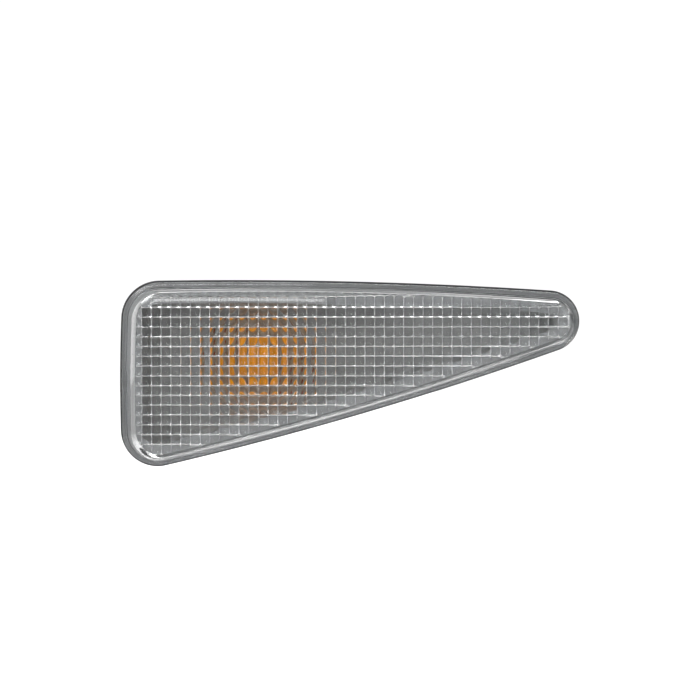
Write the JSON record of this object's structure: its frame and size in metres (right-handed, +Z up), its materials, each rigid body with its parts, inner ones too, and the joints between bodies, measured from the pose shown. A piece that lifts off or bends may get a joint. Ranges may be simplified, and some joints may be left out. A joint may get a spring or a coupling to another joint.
{
  "type": "vehicle side indicator lamp",
  "caption": "Wing-mounted side indicator: clear lens with square pillow optics on a grey housing, amber wedge bulb in a twist-lock holder with a plug socket.",
  "frame": {"origin": "on the bulb's axis, in the plane of the gasket's rear face, where the lamp meets the outer surface of the wing", "axes": "+X along the lamp towards its narrow end, +Y into the car (the lens faces -Y), +Z up as mounted"},
  "size_m": [0.0839, 0.0464, 0.0339],
  "materials": {
    "clear_lens": "clear polished acrylic",
    "grey_housing": "fine moulded texture",
    "black_gasket": "closed-cell foam rubber",
    "spring_steel": "rolled strip",
    "grey_holder": "glass-filled nylon",
    "red_seal": "silicone",
    "contact_brass": "tinned brass strip",
    "amber_glass": "amber coated glass",
    "lead_wire": "drawn wire",
    "tungsten": "drawn wire"
  },
  "bodies": {
    "lamp_body": {"lens": "clear_lens", "housing": "grey_housing", "gasket": "black_gasket", "spring_clip": "spring_steel"},
    "holder_unit": {"bulb_holder": "grey_holder", "holder_seal": "red_seal", "contact_a": "contact_brass", "contact_b": "contact_brass", "bulb_envelope": "amber_glass", "bulb_lead_a": "lead_wire", "bulb_lead_b": "lead_wire", "bulb_filament": "tungsten"}
  },
  "joints": [
    {"name": "holder_twist", "type": "hinge", "parent": "lamp_body", "child": "holder_unit", "pos_m": [0, 0.0202, 0], "axis": [0, 1, 0], "range_deg": [0, 45]}
  ]
}
